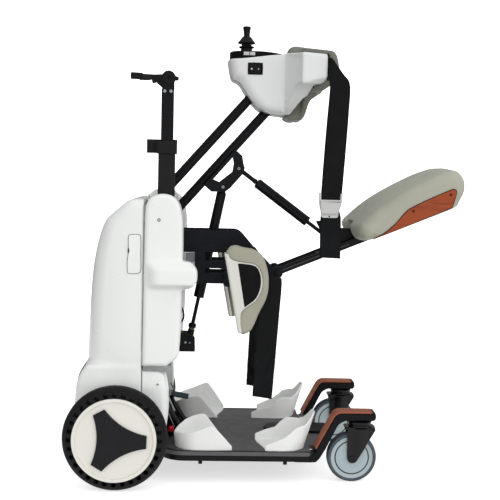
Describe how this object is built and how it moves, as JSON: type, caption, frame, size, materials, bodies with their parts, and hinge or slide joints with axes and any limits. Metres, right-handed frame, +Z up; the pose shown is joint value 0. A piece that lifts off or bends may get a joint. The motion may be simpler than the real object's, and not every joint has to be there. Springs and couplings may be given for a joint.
{
  "type": "standing wheelchair",
  "caption": "Powered standing wheelchair: wheeled base with foot cups, knee supports, split lifting seat, and a parallelogram arm carrying a chest console with joystick.",
  "frame": {"origin": "on the floor under the middle of the overall box", "axes": "+X towards the boarding end with the castors, +Y to the right of a person standing on the plate and facing the console, +Z up"},
  "size_m": [0.9826, 0.614, 1.156],
  "materials": {
    "frame_black": "semi-gloss black powder coat",
    "plate_grey": "matt dark grey textured coat",
    "shell_white": "gloss white moulded plastic",
    "trim_black": "matt black moulded plastic",
    "drive_tyre": "solid black tyre",
    "disc_cream": "satin cream plastic",
    "castor_grey": "grey non-marking tread on a pale hub",
    "fork_grey": "dark painted steel",
    "pin_steel": "turned steel",
    "bright_metal": "polished metal",
    "pad_olive": "olive-grey upholstery",
    "wood_panel": "red-brown lacquered wood",
    "strap_black": "black woven webbing",
    "cable_black": "black cable sheath",
    "grip_rubber": "dark grey-blue rubber",
    "knob_red": "red plastic"
  },
  "bodies": {
    "chassis": {"base_frame": "frame_black", "drive_axles": "pin_steel", "footplate": "plate_grey", "toe_cups": "shell_white", "heel_cups": "shell_white", "castor_arm_left": "frame_black", "castor_arm_right": "frame_black", "arm_trims": "wood_panel", "rear_cover": "shell_white", "lower_cover": "shell_white", "tail_panel": "trim_black", "column_core": "shell_white", "column_cover_left": "shell_white", "column_cover_right": "shell_white", "seat_support_fork": "frame_black", "knee_shells": "shell_white", "knee_cushions": "pad_olive", "calf_straps": "strap_black", "mast_outer_tube": "frame_black", "mast_collar": "frame_black", "battery_pack": "trim_black", "motor_controller": "trim_black", "spring_bracket": "frame_black", "release_cable": "cable_black", "pivot_pins": "pin_steel"},
    "wheel_left": {"drive_tyre_left": "drive_tyre", "wheel_disc_left": "disc_cream", "wheel_cap_left": "trim_black"},
    "wheel_right": {"drive_tyre_right": "drive_tyre", "wheel_disc_right": "disc_cream", "wheel_cap_right": "trim_black"},
    "castor_fork_l": {"castor_fork_left": "fork_grey"},
    "castor_fork_r": {"castor_fork_right": "fork_grey"},
    "castor_wheel_l": {"castor_wheel_left": "castor_grey"},
    "castor_wheel_r": {"castor_wheel_right": "castor_grey"},
    "mast": {"mast_inner_tube": "frame_black"},
    "handle": {"push_handle": "trim_black"},
    "lift_lower": {"lower_link": "frame_black", "gusset_pins": "pin_steel"},
    "lift_upper": {"upper_link": "frame_black"},
    "console": {"console_shell": "shell_white", "console_panel": "trim_black", "console_pins": "pin_steel", "chest_pad": "pad_olive", "hip_belt": "strap_black", "belt_buckle": "bright_metal"},
    "stick_gimbal": {"joystick_gimbal": "trim_black"},
    "stick": {"joystick_stick": "trim_black"},
    "spring_rod": {"lift_rod": "frame_black"},
    "spring_cylinder": {"lift_cylinder": "frame_black"},
    "seat": {"seat_frame": "frame_black"},
    "strut_cylinder": {"seat_strut_cylinder": "frame_black"},
    "strut_rod": {"seat_strut_rod": "bright_metal"},
    "pad_left": {"seat_pad_left": "pad_olive", "seat_panel_left": "wood_panel"},
    "pad_right": {"seat_pad_right": "pad_olive", "seat_panel_right": "wood_panel"},
    "pedal": {"brake_pedal": "grip_rubber"},
    "clutch": {"clutch_lever": "knob_red"},
    "flap": {"charge_flap": "shell_white"}
  },
  "joints": [
    {"name": "wheel_left_spin", "type": "hinge", "parent": "chassis", "child": "wheel_left", "pos_m": [-0.36432, -0.27, 0.127], "axis": [0, 1, 0], "continuous": true},
    {"name": "wheel_right_spin", "type": "hinge", "parent": "chassis", "child": "wheel_right", "pos_m": [-0.36432, 0.27, 0.127], "axis": [0, 1, 0], "continuous": true},
    {"name": "castor_left_swivel", "type": "hinge", "parent": "chassis", "child": "castor_fork_l", "pos_m": [0.24468, -0.185, 0.14], "axis": [0, 0, 1], "continuous": true},
    {"name": "castor_right_swivel", "type": "hinge", "parent": "chassis", "child": "castor_fork_r", "pos_m": [0.24468, 0.185, 0.14], "axis": [0, 0, 1], "continuous": true},
    {"name": "castor_left_spin", "type": "hinge", "parent": "castor_fork_l", "child": "castor_wheel_l", "pos_m": [0.22468, -0.185, 0.0625], "axis": [0, 1, 0], "continuous": true},
    {"name": "castor_right_spin", "type": "hinge", "parent": "castor_fork_r", "child": "castor_wheel_r", "pos_m": [0.22468, 0.185, 0.0625], "axis": [0, 1, 0], "continuous": true},
    {"name": "mast_slide", "type": "slide", "parent": "chassis", "child": "mast", "axis": [0, 0, 1], "range_m": [-0.1, 0.06]},
    {"name": "handle_fold", "type": "hinge", "parent": "mast", "child": "handle", "pos_m": [-0.25282, -0.165, 1.002], "axis": [0, 1, 0], "range_deg": [0, 80]},
    {"name": "lift", "type": "hinge", "parent": "chassis", "child": "lift_lower", "pos_m": [-0.26432, 0, 0.6367], "axis": [0, 1, 0], "range_deg": [0, 28]},
    {"name": "upper_link_turn", "type": "hinge", "parent": "chassis", "child": "lift_upper", "pos_m": [-0.28652, 0, 0.6964], "axis": [0, 1, 0], "range_deg": [0, 28.1]},
    {"name": "console_turn", "type": "hinge", "parent": "lift_lower", "child": "console", "pos_m": [0.01358, 0, 0.9527], "axis": [0, 1, 0], "range_deg": [-28.1, 0]},
    {"name": "spring_rod_turn", "type": "hinge", "parent": "chassis", "child": "spring_rod", "pos_m": [-0.19352, 0, 0.3272], "axis": [0, 1, 0], "range_deg": [0, 7.7]},
    {"name": "spring_stroke", "type": "slide", "parent": "spring_rod", "child": "spring_cylinder", "axis": [0.1958, 0, 0.9807], "range_m": [-0.0713, 0]},
    {"name": "seat_turn", "type": "hinge", "parent": "chassis", "child": "seat", "pos_m": [0.03368, 0, 0.514], "axis": [0, 1, 0], "range_deg": [0, 23.9]},
    {"name": "strut_turn", "type": "hinge", "parent": "lift_lower", "child": "strut_cylinder", "pos_m": [-0.07112, 0, 0.7843], "axis": [0, 1, 0], "range_deg": [-33.1, 0]},
    {"name": "strut_stroke", "type": "slide", "parent": "strut_cylinder", "child": "strut_rod", "axis": [0.8057, 0, -0.5923], "range_m": [-0.0456, 0]},
    {"name": "seat_left_fold", "type": "hinge", "parent": "seat", "child": "pad_left", "pos_m": [0.03368, -0.052, 0.514], "axis": [0.9245, 0, 0.3811], "range_deg": [0, 75]},
    {"name": "seat_right_fold", "type": "hinge", "parent": "seat", "child": "pad_right", "pos_m": [0.03368, 0.052, 0.514], "axis": [-0.9245, 0, -0.3811], "range_deg": [0, 75]},
    {"name": "joystick_pitch", "type": "hinge", "parent": "console", "child": "stick_gimbal", "pos_m": [-0.05732, 0, 1.066], "axis": [0, 1, 0], "range_deg": [-15, 15], "stiffness_Nm_per_rad": 0.6},
    {"name": "joystick_roll", "type": "hinge", "parent": "stick_gimbal", "child": "stick", "pos_m": [-0.05732, 0, 1.066], "axis": [1, 0, 0], "range_deg": [-15, 15], "stiffness_Nm_per_rad": 0.6},
    {"name": "brake_pedal_press", "type": "hinge", "parent": "chassis", "child": "pedal", "pos_m": [-0.23832, -0.072, 0.1923], "axis": [0, 1, 0], "range_deg": [0, 20], "stiffness_Nm_per_rad": 3},
    {"name": "clutch_lever_turn", "type": "hinge", "parent": "chassis", "child": "clutch", "pos_m": [-0.23582, -0.1, 0.088], "axis": [0, 1, 0], "range_deg": [0, 20]},
    {"name": "charge_flap_open", "type": "hinge", "parent": "chassis", "child": "flap", "pos_m": [-0.31332, -0.2066, 0.568], "axis": [0, 0, 1], "range_deg": [0, 85]}
  ],
  "couplings": [
    {"joint": "upper_link_turn", "follows": "lift", "ratio": 1},
    {"joint": "console_turn", "follows": "lift", "ratio": -1},
    {"joint": "spring_rod_turn", "follows": "lift", "ratio": 0.27},
    {"joint": "spring_stroke", "follows": "lift", "m_per_rad": -0.14553},
    {"joint": "seat_turn", "follows": "lift", "ratio": 0.85},
    {"joint": "strut_turn", "follows": "lift", "ratio": -1.18},
    {"joint": "strut_stroke", "follows": "lift", "m_per_rad": -0.09311}
  ]
}
